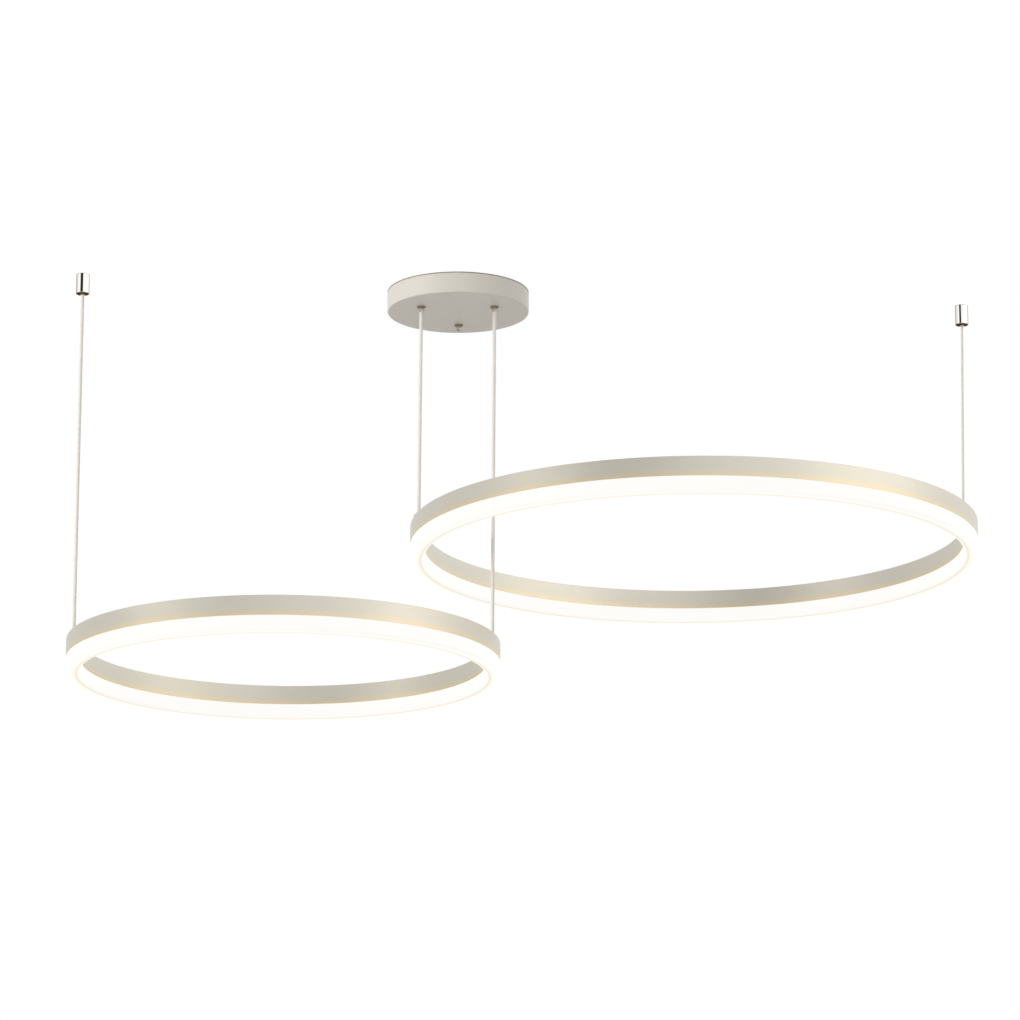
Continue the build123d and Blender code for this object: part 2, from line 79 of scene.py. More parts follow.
def skin(grid, round_first=False, round_second=False):
    """Quads over a grid of points, shaped (first, second, 3).
    The corners run so that a face points along first x second. A round way joins its end to its start.
    The UV map holds the distance travelled each way, in metres, on the longest line of the grid."""
    first, second = grid.shape[:2]
    row, column = np.meshgrid(
        np.arange(first - (not round_first)), np.arange(second - (not round_second)), indexing="ij"
    )
    next_row, next_column = (row + 1) % first, (column + 1) % second
    corners = [row * second + column, next_row * second + column]
    corners += [next_row * second + next_column, row * second + next_column]
    along, across = travelled(grid, 0, round_first), travelled(grid, 1, round_second)
    u = np.stack([along[row], along[row + 1], along[row + 1], along[row]], axis=-1)
    v = np.stack([across[column], across[column], across[column + 1], across[column + 1]], axis=-1)
    faces = np.stack(corners, axis=-1).reshape(-1, 4)
    return grid.reshape(-1, 3), faces, np.stack([u, v], axis=-1).reshape(-1, 2)


def travelled(grid, way, closed):
    """The distance from the start to each line of a grid, added up along its longest run that way."""
    if closed:
        grid = np.concatenate([grid, grid.take([0], way)], way)
    steps = np.linalg.norm(np.diff(grid, axis=way), axis=-1)
    longest = steps.sum(axis=way).argmax()
    return np.concatenate([[0], np.cumsum(steps.take(longest, axis=1 - way))])


def joined(name, skins):
    """One mesh of several skins."""
    starts = np.cumsum([0] + [len(points) for points, _, _ in skins])
    faces = [face for start, (_, some, _) in zip(starts, skins) for face in (some + start).tolist()]
    mesh = bpy.data.meshes.new(name)
    mesh.from_pydata(np.concatenate([points for points, _, _ in skins]).tolist(), [], faces)
    return mesh


def merge(mesh):
    """Makes one point of those that lie together, at poles and seams."""
    shape = bmesh.new()
    shape.from_mesh(mesh)
    bmesh.ops.remove_doubles(shape, verts=shape.verts, dist=1e-6)
    shape.to_mesh(mesh)
    shape.free()


def smooth(mesh):
    """Smooth shading that breaks at sharp corners."""
    mesh.shade_smooth()
    mesh.set_sharp_from_angle(angle=radians(32.0))


def piece(name, skins, material, body, stands_for):
    """One object made of several skins, for the CAD nodes it stands for. It rides on a body at once if one
    is given."""
    mesh = joined(name, skins)
    layer = mesh.uv_layers.new(name="surface")
    layer.data.foreach_set("uv", np.concatenate([uv for _, _, uv in skins]).ravel())
    merge(mesh)
    smooth(mesh)
    mesh.materials.append(material)
    made = linked(name, mesh)
    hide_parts(*stands_for)
    if body:
        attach(made, body)
    return made


def tube(line, radius, sides=32):
    """Circles of one radius across a nearly straight line of points, closed at both ends."""
    line = np.asarray(line, float)
    way = line[-1] - line[0]
    way /= np.linalg.norm(way)
    side = np.cross(way, (0.0, 1.0, 0.0))
    side /= np.linalg.norm(side)
    turn = np.linspace(0, tau, sides, endpoint=False)[:, None]
    circle = radius * (np.cos(turn) * side + np.sin(turn) * np.cross(way, side))
    sizes = np.concatenate([[0], np.ones(len(line)), [0]])
    centres = line[np.concatenate([[0], np.arange(len(line)), [-1]])]
    return skin(centres[None] + circle[:, None] * sizes[:, None], round_first=True)


def smooth_line(route):
    """The points of a NURBS spline through a route's first and last point."""
    curve = bpy.data.curves.new("route", "CURVE")
    curve.dimensions = "3D"
    curve.resolution_u = 48
    spline = curve.splines.new("NURBS")
    spline.points.add(len(route) - 1)
    spline.points.foreach_set("co", np.c_[np.array(route), np.ones(len(route))].ravel())
    spline.order_u = 3
    spline.use_endpoint_u = True
    holder = bpy.data.objects.new("route", curve)
    mesh = bpy.data.meshes.new_from_object(holder)
    line = np.array([vertex.co for vertex in mesh.vertices])
    bpy.data.objects.remove(holder)
    bpy.data.meshes.remove(mesh)
    return line


def colour(red, green, blue):
    """An sRGB colour, 0 to 255 each, as linear light."""
    share = np.array([red, green, blue]) / 255
    light = np.where(share <= 0.04045, share / 12.92, ((share + 0.055) / 1.055) ** 2.4)
    return (*light.tolist(), 1.0)


def finish(name, **sockets):
    """A material whose shader holds these constants. A socket's name is written with underscores."""
    made = bpy.data.materials.new(name)
    made.use_nodes = True
    shader = made.node_tree.nodes["Principled BSDF"]
    for socket, value in sockets.items():
        shader.inputs[socket.replace("_", " ")].default_value = value
    return made


def node(made, kind, inputs=None, output=0, **settings):
    """An output of a new shader node, in a material or the world. Each input takes a value, or the socket
    that feeds it."""
    new = made.node_tree.nodes.new("ShaderNode" + kind)
    for name, value in settings.items():
        setattr(new, name, value)
    for name, value in (inputs or {}).items():
        if isinstance(value, bpy.types.NodeSocket):
            made.node_tree.links.new(value, new.inputs[name])
        else:
            new.inputs[name].default_value = value
    return new.outputs[output]


def feed(made, name, socket):
    """Joins a socket to an input of the material's shader."""
    shader = made.node_tree.nodes["Principled BSDF"]
    made.node_tree.links.new(socket, shader.inputs[name])


def stretched_noise(made, source, scales, detail=3.0):
    """Noise on the piece's own UV map or on Object coordinates, finer where the scale is higher."""
    place = node(made, "Mapping", {"Vector": node(made, "TexCoord", output=source), "Scale": scales})
    return node(made, "TexNoise", {"Vector": place, "Scale": 1.0, "Detail": detail}, "Fac")


def spread(made, pattern, low, high):
    """Maps the middle of a pattern's range onto a pair of numbers."""
    inputs = {"Value": pattern, "From Min": 0.25, "From Max": 0.75, "To Min": low, "To Max": high}
    return node(made, "MapRange", inputs)


def shades(made, pattern, dark, light):
    """Mixes two colours by a pattern. Each is a constant or a socket that carries a colour."""
    return node(made, "Mix", {"Factor": pattern, 6: dark, 7: light}, 2, data_type="RGBA")


def relief(made, pattern, depth):
    """Bumps the surface by a pattern, with the depth in metres."""
    feed(made, "Normal", node(made, "Bump", {"Height": pattern, "Distance": depth, "Strength": 1.0}))


def jacket(name, light, dark):
    """A smooth extruded jacket with the faint crossing lay of the braid under it."""
    made = finish(name, Roughness=0.34, Coat_Weight=0.35, Coat_Roughness=0.12)
    uv = node(made, "TexCoord", output="UV")
    lays = []
    for way in (1, -1):
        laid = node(made, "Mapping", {"Vector": uv, "Scale": (260.0, way * 380.0, 1.0)})
        inputs = {"Vector": laid, "Scale": 1.0}
        lays.append(node(made, "TexWave", inputs, "Fac", bands_direction="DIAGONAL"))
    braid = node(made, "Math", {0: lays[0], 1: lays[1]}, operation="MULTIPLY")
    feed(made, "Base Color", shades(made, braid, dark, light))
    relief(made, braid, 0.00003)
    return made


power_jacket = jacket("power_jacket", colour(235, 233, 227), colour(226, 222, 213))
anchor_jacket = jacket("anchor_jacket", colour(233, 229, 221), colour(223, 218, 208))

power_cord_radius = 2.5 * mm
anchor_cord_radii = {"left": 2.5 * mm, "right": 1.75 * mm}
jackets = {"power": power_jacket, "anchor": anchor_jacket}
cord_ends = {
    ("large", "power"): (power_cord_radius, (-0.051962, -0.030, -0.0378), (-0.053962, -0.030, -0.3325)),
    ("large", "anchor"): (
        anchor_cord_radii["right"], (0.726224, 0.065058, -0.0307), (0.720224, 0.065058, -0.3325)
    ),
    ("small", "power"): (power_cord_radius, (0.051962, -0.030, -0.0378), (0.049462, -0.030, -0.5155)),
    ("small", "anchor"): (
        anchor_cord_radii["left"], (-0.527868, -0.085591, -0.0307), (-0.527868, -0.085591, -0.5155)
    ),
}
for (ring, side), (radius, start, end) in cord_ends.items():
    name = f"{ring}_{side}_cord"
    line = smooth_line((start, end))
    cord = piece(name + "_jacket", [tube(line, radius)], jackets[side], None, [name])
    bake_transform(cord)

# Ring channels. Each starts as an extruded aluminium channel, rolled to a circle, cut to length and satin
# anodised in champagne. It has a closed duct above an open bay, and four key holes beside its single seam.
profile_width = 20 * mm
channel_height = 27 * mm
channel_wall = 1.5 * mm
duct_height = 12.5 * mm
seam_gap = 0.3 * mm
seam_distance = 24 * mm
key_hole_radius = 1.4 * mm
key_hole_offsets = (-11 * mm, -5 * mm, 5 * mm, 11 * mm)
painted_glow_height = 11 * mm
ring_steps = {"large": 576, "small": 432}
ring_radii = {"large": 400 * mm, "small": 300 * mm}
ring_centres = {"large": (0.333131, 0.017529, -0.344), "small": (-0.239203, -0.057795, -0.527)}
ring_turns = {"large": radians(7.0), "small": radians(185.5)}


def rounded(corners, radii, closed=True, steps=4):
    """An outline whose corners are arcs of a circle: quadratic curves with the corner as control point,
    weighted by the sine of half its angle. A point on each side keeps the flats flat in smooth shading."""
    here = np.array(corners, float)
    radii = np.broadcast_to(np.array(radii, float), len(here)).copy()
    if not closed:
        radii[[0, -1]] = 0
    to_last, to_next = np.roll(here, 1, axis=0) - here, np.roll(here, -1, axis=0) - here
    to_last /= np.linalg.norm(to_last, axis=1, keepdims=True)
    to_next /= np.linalg.norm(to_next, axis=1, keepdims=True)
    half = np.arccos(np.clip((to_last * to_next).sum(axis=1), -1, 1)) / 2
    reach = (radii / np.tan(half))[:, None, None]
    weight = np.sin(half)[:, None, None]
    share = np.linspace(0, 1, steps + 1)[None, :, None]
    corner, to_last, to_next = here[:, None], to_last[:, None], to_next[:, None]
    first, middle, last = (1 - share) ** 2, 2 * weight * share * (1 - share), share**2
    arc = first * (corner + reach * to_last) + middle * corner + last * (corner + reach * to_next)
    arc /= first + middle + last
    beside = reach * 1.3
    arc = np.concatenate([corner + beside * to_last, arc, corner + beside * to_next], axis=1)
    outline = arc.reshape(-1, 2)
    keep = np.linalg.norm(outline - np.roll(outline, 1, axis=0), axis=1) > 1e-7
    keep[0] |= not closed
    return outline[keep]


def turned(outline, steps, start=0.0, stop=tau):
    """An outline of (radius, height) carried round the Z axis, as a grid of (turn, outline, 3)."""
    whole = stop - start > tau - 1e-9
    turn = np.linspace(start, stop, steps, endpoint=not whole)[:, None]
    radius, height = outline[:, 0], outline[:, 1]
    return np.stack([radius * np.cos(turn), radius * np.sin(turn), height + 0 * turn], axis=-1)


def placed(skins, place, turn=0.0):
    """Skins turned about the Z axis, then moved to a place."""
    spin = np.array([[cos(turn), -sin(turn), 0], [sin(turn), cos(turn), 0], [0, 0, 1]])
    return [(points @ spin.T + np.array(place), faces, uv) for points, faces, uv in skins]


def rectangle(left, bottom, right, top):
    """The corners of an upright rectangle, counter-clockwise from the lower left."""
    return [(left, bottom), (right, bottom), (right, top), (left, top)]


def lathe(corners, radii, steps=64, arc_steps=4):
    """A solid of revolution. Its outline runs counter-clockwise from pole to pole, or closes on itself."""
    closed = corners[0][0] > 1e-9
    outline = rounded(corners, radii, closed, arc_steps)
    return skin(turned(outline, steps), round_first=True, round_second=closed)


def section_cap(loops, angle, outward):
    """Triangles that close a swept section, holes left open, at one angle of its sweep."""
    flat = [[(x, z, 0.0) for x, z in loop] for loop in loops]
    faces = np.array(tessellate_polygon(flat))
    corners = np.concatenate(loops)
    a, b, c = (corners[faces[:, i]] for i in range(3))
    area = np.cross(b - a, c - a)
    real = np.abs(area) > 1e-14
    faces, turned_over = faces[real], (area[real] > 0) == outward
    faces[turned_over] = faces[turned_over][:, ::-1]
    x, z = corners.T
    points = np.stack([x * cos(angle), x * sin(angle), z], axis=-1)
    return points, faces, np.zeros((3 * len(faces), 2))


def cut(made, cutters):
    """Takes closed skins out of a piece with a boolean modifier, and keeps the result as its mesh."""
    mesh = joined("cutter", cutters)
    merge(mesh)
    tool = linked("cutter", mesh)
    modifier = made.modifiers.new("cut", "BOOLEAN")
    modifier.operation = "DIFFERENCE"
    modifier.solver = "EXACT"
    modifier.object = tool
    graph = bpy.context.evaluated_depsgraph_get()
    result = bpy.data.meshes.new_from_object(made.evaluated_get(graph))
    made.modifiers.clear()
    made.data = result
    smooth(result)
    bpy.data.objects.remove(tool)
    bpy.data.meshes.remove(mesh)


def drill(radius, bottom, top):
    """A closed rod that cuts a round hole along Z."""
    return lathe(rectangle(0, bottom, radius, top), 0, 32)


def risen(made, low, high, **settings):
    """A number from 0 at one height of the piece's own map to 1 at a greater height."""
    rise = node(made, "Attribute", output="Fac", attribute_name="rise")
    return node(made, "MapRange", {"Value": rise, "From Min": low, "From Max": high}, **settings)


def dimmed(made, tone, level):
    """A colour with its three channels scaled by one number."""
    grey = node(made, "CombineColor", {"Red": level, "Green": level, "Blue": level})
    inputs = {"Factor": 1.0, 6: tone, 7: grey}
    return node(made, "Mix", inputs, 2, data_type="RGBA", blend_type="MULTIPLY")


def points_of(made):
    """The points of a piece's mesh."""
    points = np.zeros(3 * len(made.data.vertices), np.float32)
    made.data.vertices.foreach_get("co", points)
    return points.reshape(-1, 3)


def mark(made, name, numbers):
    """Stores a number for each point as an attribute of the mesh."""
    layer = made.data.attributes.new(name, "FLOAT", "POINT")
    layer.data.foreach_set("value", numbers.astype(np.float32))


def mark_rise(made, level):
    """Stores each point's height above a level."""
    mark(made, "rise", points_of(made)[:, 2] - level)


def champagne():
    """Satin anodising over metal brushed along the ring, with a painted glow just above the lit band."""
    made = finish("champagne_aluminium", Metallic=0.82, Roughness=0.36, Anisotropic=0.35)
    brushing = stretched_noise(made, "UV", (25.0, 5200.0, 1.0))
    clouds = stretched_noise(made, "Object", (9.0, 9.0, 9.0), 2.0)
    satin = shades(made, clouds, colour(208, 203, 190), colour(215, 211, 199))
    brushed = dimmed(made, satin, spread(made, brushing, 0.985, 1.0))
    # Painted light: the lowest part of each wall is tinted warm tan, standing in for the opal band's glow on
    # it.
    painted_glow_mask = risen(made, 0.0, painted_glow_height, interpolation_type="SMOOTHSTEP")
    feed(made, "Base Color", shades(made, painted_glow_mask, colour(224, 208, 176), brushed))
    feed(made, "Roughness", spread(made, brushing, 0.34, 0.4))
    relief(made, brushing, 0.000003)
    return made


champagne_aluminium = champagne()
shelf = -channel_wall - duct_height
bay = shelf - channel_wall
half_width = profile_width / 2
half_bay = half_width - channel_wall
channel_corners = [
    (-half_width, -channel_height),
    (-half_bay, -channel_height),
    (-half_bay, bay),
    (half_bay, bay),
    (half_bay, -channel_height),
    (half_width, -channel_height),
    (half_width, 0.0),
    (-half_width, 0.0),
]
duct_corners = [(-half_bay, shelf), (-half_bay, -channel_wall), (half_bay, -channel_wall), (half_bay, shelf)]
channel_radii = [0.2 * mm] * 6 + [0.5 * mm] * 2
ring_middles = {ring: radius - half_width for ring, radius in ring_radii.items()}
for ring, middle in ring_middles.items():
    loops = [
        rounded(corners, radii) + (middle, 0)
        for corners, radii in ((channel_corners, channel_radii), (duct_corners, 0.3 * mm))
    ]
    start = (seam_distance + seam_gap / 2) / middle
    stop = tau + (seam_distance - seam_gap / 2) / middle
    skins = [skin(turned(loop, ring_steps[ring], start, stop), round_second=True) for loop in loops]
    skins += [section_cap(loops, start, False), section_cap(loops, stop, True)]
    skins = placed(skins, ring_centres[ring], ring_turns[ring])
    channel = piece(
        ring + "_ring_channel", skins, champagne_aluminium, None, [ring + "_channel"]
    )
    holes = []
    for offset in key_hole_offsets:
        angle = (seam_distance + offset) / middle
        hole = drill(key_hole_radius, -channel_wall - 0.5 * mm, 1 * mm)
        holes += placed([hole], (middle * cos(angle), middle * sin(angle), 0))
    cut(channel, placed(holes, ring_centres[ring], ring_turns[ring]))
    mark_rise(channel, ring_centres[ring][2] - channel_height)
    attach(channel, ring + "_ring")

# Opal bands. Each is an extruded acrylic trough, bent to the ring and pressed into the bay by the tongues on
# its two walls. It stands flush with the channel's faces, has rounded lower corners and glows almost evenly.
diffuser_drop = 21 * mm
diffuser_wall = 2 * mm
diffuser_corner_radius = 4.5 * mm
diffuser_tongue = 5 * mm
diffuser_clearance = 0.15 * mm


def lit_opal():
    """Opal acrylic that is lit from inside: nearly white light, dimmer and warmer along the underside's inner
    edge, where a line of shade is painted. Its clear skin takes some blue out of light that leaves at a
    low angle."""
    made = finish(
        "opal", Base_Color=colour(66, 65, 62), Roughness=0.32, Specular_IOR_Level=0.3, Emission_Strength=0.94,
        Coat_Weight=1.0, Coat_IOR=1.02, Coat_Roughness=0.3, Coat_Tint=(0.994, 0.987, 0.976, 1.0),
    )
    edge = node(made, "Attribute", output="Fac", attribute_name="edge")
    # Painted shade: the glow turns dimmer and tan along the underside's inner edge.
    glow_with_painted_shade = shades(made, edge, colour(254, 254, 253), colour(236, 223, 202))
    flow = stretched_noise(made, "UV", (6.0, 60.0, 1.0), 2.0)
    feed(made, "Emission Color", dimmed(made, glow_with_painted_shade, spread(made, flow, 0.985, 1.0)))
    return made


def mark_painted_edge_shade(made, place, middle):
    """Stores the mask of the painted shade line: how near each point is to the inner edge of the flat
    underside, a bell curve over the distance across the band, and 0 higher up."""
    x, y, z = (points_of(made) - np.array(place)).T
    inward = middle - np.hypot(x, y)
    bell = np.exp(-(((inward - underside_edge) / painted_shade_spread) ** 2))
    mark(made, "edge", bell * (z < foot + underside_depth))


opal = lit_opal()
foot = -channel_height - diffuser_drop
floor_inside = foot + diffuser_wall
outer_tongue = half_bay - diffuser_clearance
inner_tongue = outer_tongue - diffuser_wall
inner_wall = half_width - diffuser_wall
tongue_top = -channel_height + diffuser_tongue
ledge = -channel_height - diffuser_wall
underside_edge = 4.6 * mm
painted_shade_spread = 2.2 * mm
underside_depth = 0.3 * mm
right_side = [
    (underside_edge - 2 * mm, foot),
    (half_width, foot),
    (half_width, -channel_height),
    (outer_tongue, -channel_height),
    (outer_tongue, tongue_top),
    (inner_tongue, tongue_top),
    (inner_tongue, ledge),
    (inner_wall, ledge),
    (inner_wall, floor_inside),
]
right_radii = [0.0, diffuser_corner_radius, 0.3 * mm, 0.2 * mm, 0.3 * mm, 0.3 * mm]
right_radii += [0.2 * mm, 0.2 * mm, 3.5 * mm]
band_corners = right_side + [(-x, z) for x, z in reversed(right_side)]
band_radii = right_radii + right_radii[::-1]
for ring, middle in ring_middles.items():
    outline = rounded(band_corners, band_radii, steps=6) + (middle, 0)
    skins = [skin(turned(outline, ring_steps[ring]), True, True)]
    skins = placed(skins, ring_centres[ring], ring_turns[ring])
    band = piece(ring + "_opal_band", skins, opal, None, [ring + "_diffuser"])
    mark_painted_edge_shade(band, ring_centres[ring], middle)
    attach(band, ring + "_ring")

# Light source. A flexible white circuit with a row of warm emitters is stuck under the shelf of each channel.
# A two-core lead runs from the power socket along the duct and through the shelf to it.


def plain_finish(name, low, high, scale, roughness, depth, **sockets):
    """A finish with fine cloudy grain in its colour and its relief, on Object coordinates."""
    made = finish(name, Roughness=roughness, **sockets)
    grain = stretched_noise(made, "Object", (scale, scale, scale))
    feed(made, "Base Color", shades(made, grain, low, high))
    relief(made, grain, depth)
    return made


def dress_nodes(material, *names):
    """Gives CAD nodes that show as they are a finish."""
    for name in names:
        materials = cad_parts[name].data.materials
        materials.clear()
        materials.append(material)


strip_board = plain_finish(
    "strip_board", colour(236, 234, 226), colour(244, 242, 236), 900.0, 0.4, 0.00001, Coat_Weight=0.2
)
chip_phosphor = plain_finish(
    "chip_phosphor", colour(246, 206, 92), colour(252, 226, 130), 2500.0, 0.25, 0.00001,
    Emission_Color=colour(255, 240, 205), Emission_Strength=1.0,
)
lead_jacket = plain_finish(
    "lead_jacket", colour(222, 221, 216), colour(236, 235, 231), 600.0, 0.42, 0.00002, Coat_Weight=0.15
)
dress_nodes(strip_board, "large_led_strip", "small_led_strip")
dress_nodes(chip_phosphor, "large_led_chips", "small_led_chips")
dress_nodes(lead_jacket, "large_ring_lead", "small_ring_lead")

# Joiners. A sawn aluminium bar fills the duct at the seam of each ring. Four zinc plated grub screws, turned
# with a hexagon key through the holes in the top, press it against the channel's top and close the ring.


def zinc():
    """Zinc plate: blue grey crystals of slightly different brightness under a dull gloss."""
    made = finish("zinc_steel", Metallic=1.0, Roughness=0.34)
    place = node(made, "TexCoord", output="Object")
    crystals = node(made, "TexVoronoi", {"Vector": place, "Scale": 420.0}, "Color")
    shade = node(made, "SeparateColor", {"Color": crystals})
    feed(made, "Base Color", shades(made, shade, colour(178, 182, 186), colour(204, 206, 208)))
    feed(made, "Roughness", spread(made, shade, 0.28, 0.42))
    return made


zinc_steel = zinc()
mill_aluminium = plain_finish(
    "mill_aluminium", colour(196, 197, 198), colour(214, 215, 216), 1500.0, 0.4, 0.00002, Metallic=1.0
)
dress_nodes(mill_aluminium, "large_joiner", "small_joiner")
dress_nodes(zinc_steel, "large_joiner_screws", "small_joiner_screws")

# Ball sockets. A satin nickel socket stands on the channel at each fitting, held from below by a nut in the
# duct. The ball on the cord's end turns in it under a knurled cap, so the ring hangs level whatever the
# cord does.
ball_radius = 4.5 * mm
ball_height = 5.2 * mm
bowl_radius = 4.58 * mm
neck_radius = 3.2 * mm
neck_top = 11.5 * mm
socket_radius = 7 * mm
socket_flange = 2 * mm
cup_radius = 5.65 * mm
stem_radius = 4 * mm
stem_bottom = -5.6 * mm
stem_bore = 1.8 * mm
cap_bottom = 2.1 * mm
cap_top = 9.4 * mm
cap_bore = 5.75 * mm
cap_chamfer = 1.25 * mm
cap_mouth = 3.85 * mm
knurl_teeth = 44
knurl_steps = 6
knurl_depth = 0.22 * mm
ball_steps = 24
first_band = 0.9 * mm
band_pitch = 0.95 * mm
band_shape = ((0.0, 0.0), (0.22 * mm, 0.12 * mm), (0.22 * mm, 0.42 * mm), (0.0, 0.54 * mm))


def at_each(skins, places):
    """The same skins at several places."""
    return [part for place in places for part in placed(skins, place)]


def on_ring(ring, x):
    """The place at a channel's top that lies at x in the ring's own frame. Its anchor fitting is at +X."""
    turn = ring_turns[ring]
    middle_x, middle_y, top = ring_centres[ring]
    return (middle_x + x * cos(turn), middle_y + x * sin(turn), top)


def turned_metal(name, dark, light, scales, gloss, **sockets):
    """A turned metal with the fine rings that the tool left."""
    made = finish(name, **sockets)
    rings = stretched_noise(made, "UV", scales)
    feed(made, "Base Color", shades(made, rings, dark, light))
    feed(made, "Roughness", spread(made, rings, *gloss))
    relief(made, rings, 0.000008)
    return made


def arc(radius, start, stop, steps=12):
    """Points on a circle about the ball's middle, from one angle to another, in degrees."""
    angle = np.radians(np.linspace(start, stop, steps))
    return np.stack([radius * np.cos(angle), ball_height + radius * np.sin(angle)], axis=-1)


def polar(grid):
    """The radius and the turn of each point about the Z axis."""
    return np.linalg.norm(grid[..., :2], axis=-1), np.arctan2(grid[..., 1], grid[..., 0])


def pole_angle(radius, reach):
    """The angle, in degrees below the level, at which a ball is as wide as a reach."""
    return float(np.degrees(np.arccos(reach / radius)))


def socket_skins():
    """Flange, cup and hollow stem, turned in one piece, with the bowl for the ball in its top."""
    bowl = arc(bowl_radius, 0.0, -pole_angle(bowl_radius, stem_bore))
    corners = [
        (stem_bore, stem_bottom),
        (stem_radius, stem_bottom),
        (stem_radius, 0.0),
        (socket_radius, 0.0),
        (socket_radius, socket_flange),
        (cup_radius, socket_flange),
        (cup_radius, ball_height),
        *bowl,
    ]
    radii = [0.1 * mm, 0.5 * mm, 0.0, 0.25 * mm, 0.4 * mm, 0.0, 0.1 * mm] + [0.0] * len(bowl)
    return lathe(corners, radii, 96)


def cap_skins():
    """A cap with a conical shoulder and a straight knurl: its side goes in and out once a tooth."""
    bowl = arc(bowl_radius, pole_angle(bowl_radius, cap_mouth), 0.0)
    corners = [
        (cap_bore, cap_bottom),
        (socket_radius, cap_bottom),
        (socket_radius, cap_top - cap_chamfer),
        (socket_radius - cap_chamfer, cap_top),
        (cap_mouth, cap_top),
        *bowl,
        (cap_bore, ball_height),
    ]
    radii = [0.15 * mm, 0.3 * mm, 0.25 * mm, 0.2 * mm, 0.2 * mm] + [0.0] * (len(bowl) + 1)
    grid = turned(rounded(corners, radii), knurl_teeth * knurl_steps)
    radius, turn = polar(grid)
    on_side = np.clip((radius - (socket_radius - 0.3 * mm)) / (0.3 * mm), 0, 1)
    in_band = (grid[..., 2] > cap_bottom + 0.5 * mm) & (grid[..., 2] < cap_top - cap_chamfer - 0.2 * mm)
    depth = knurl_depth * on_side * (0.5 - 0.5 * np.cos(knurl_teeth * turn))
    grid[..., :2] *= (1 - depth / radius)[..., None]
    return skin(grid, True, True)


def ball_skins():
    """A steel ball with a sleeve above it, pressed onto the cord in three narrow bands."""
    join = pole_angle(ball_radius, neck_radius)
    corners = list(arc(ball_radius, -90.0, join, ball_steps))
    level = ball_height + ball_radius * sin(radians(join)) + first_band
    for bottom in (level, level + band_pitch, level + 2 * band_pitch):
        for inset, rise in band_shape:
            corners.append((neck_radius - inset, bottom + rise))
    radii = [0.0] * ball_steps + [0.08 * mm] * (len(corners) - ball_steps) + [0.5 * mm, 0.0]
    corners += [(neck_radius, neck_top), (0.0, neck_top)]
    return lathe(corners, radii, 64)


nickel_steel = turned_metal(
    "nickel_steel", colour(190, 186, 178), colour(212, 209, 202), (120.0, 7000.0, 1.0), (0.22, 0.36),
    Metallic=1.0, Roughness=0.28, Anisotropic=0.3,
)
for ring, middle in ring_middles.items():
    spots = {"power": on_ring(ring, -middle), "anchor": on_ring(ring, middle)}
    for side, spot in spots.items():
        piece(
            f"{ring}_{side}_ball_socket", placed([socket_skins()], spot), nickel_steel,
            ring + "_ring", [f"{ring}_{side}_socket"],
        )
    both = at_each([cap_skins()], spots.values())
    piece(ring + "_knurled_caps", both, nickel_steel, ring + "_ring", [ring + "_socket_caps"])
    both = at_each([ball_skins()], spots.values())
    piece(ring + "_ball_ends", both, nickel_steel, ring + "_hangers", [ring + "_cord_balls"])
dress_nodes(zinc_steel, "large_socket_nuts", "small_socket_nuts")

# Canopy. A dish pressed from 1.2 mm steel and powder coated in a warm pale grey. Two countersunk screws in
# its side hold it to the lugs of the strap. Above a shadow line, a thin tan line of painted shade tops the
# rim.
canopy_radius = 101 * mm
canopy_height = 30 * mm
cover_wall = 1.2 * mm
outlet_circle = 60 * mm
outlet_turns = {"left": 210.0, "right": 330.0, "rear": 90.0}
outlet_hole = 5.1 * mm
screw_hole = 2.15 * mm
screw_head_hole = 3.4 * mm
screw_drop = 9 * mm
rim = 1.2 * mm
groove_bottom = 2.6 * mm
groove_depth = 0.5 * mm


def powder_coat():
    """Fine orange peel in a thick warm grey paint, with a thin tan line of painted shade at the rim's top."""
    made = finish("canopy_paint", Roughness=0.42, Coat_Weight=0.25, Coat_Roughness=0.3)
    peel = stretched_noise(made, "Object", (1400.0, 1400.0, 1400.0), 1.0)
    cloud = stretched_noise(made, "Object", (14.0, 14.0, 14.0), 1.0)
    paint = shades(made, cloud, colour(209, 204, 195), colour(215, 210, 201))
    # Painted shade: the top of the rim is coloured dark tan, for a shade line where the dish meets the
    # ceiling.
    painted_rim_shade = risen(made, canopy_height - rim - 0.1 * mm, canopy_height - rim)
    feed(made, "Base Color", shades(made, painted_rim_shade, paint, colour(128, 116, 96)))
    relief(made, peel, 0.00002)
    return made


def sideways(upright):
    """A skin laid over, so that what pointed along Z points along X."""
    points, faces, uv = upright
    return points[:, [2, 1, 0]] * (1, -1, 1), faces, uv


canopy_paint = powder_coat()
dish = lathe(
    [
        (0.0, -canopy_height),
        (canopy_radius, -canopy_height),
        (canopy_radius, -groove_bottom),
        (canopy_radius - groove_depth, -groove_bottom),
        (canopy_radius - groove_depth, -rim),
        (canopy_radius, -rim),
        (canopy_radius, 0.0),
        (canopy_radius - cover_wall, 0.0),
        (canopy_radius - cover_wall, cover_wall - canopy_height),
        (0.0, cover_wall - canopy_height),
    ],
    [0, 2 * mm, 0.15 * mm, 0.1 * mm, 0.1 * mm, 0.15 * mm, 0.2 * mm, 0.2 * mm, 0.8 * mm, 0],
    steps=256,
    arc_steps=6,
)
cover = piece("canopy_dish", [dish], canopy_paint, None, ["canopy_cover"])
outlets = {
    side: (outlet_circle * cos(radians(turn)), outlet_circle * sin(radians(turn)), 0.0)
    for side, turn in outlet_turns.items()
}
holes = at_each([drill(outlet_hole, -canopy_height - 2 * mm, -canopy_height + 3 * mm)], outlets.values())
inside, outside = canopy_radius - 11 * mm, canopy_radius + 4 * mm
sunk = [
    (0.0, inside),
    (screw_hole, inside),
    (screw_hole, canopy_radius - cover_wall),
    (screw_head_hole, canopy_radius),
    (screw_head_hole, outside),
    (0.0, outside),
]
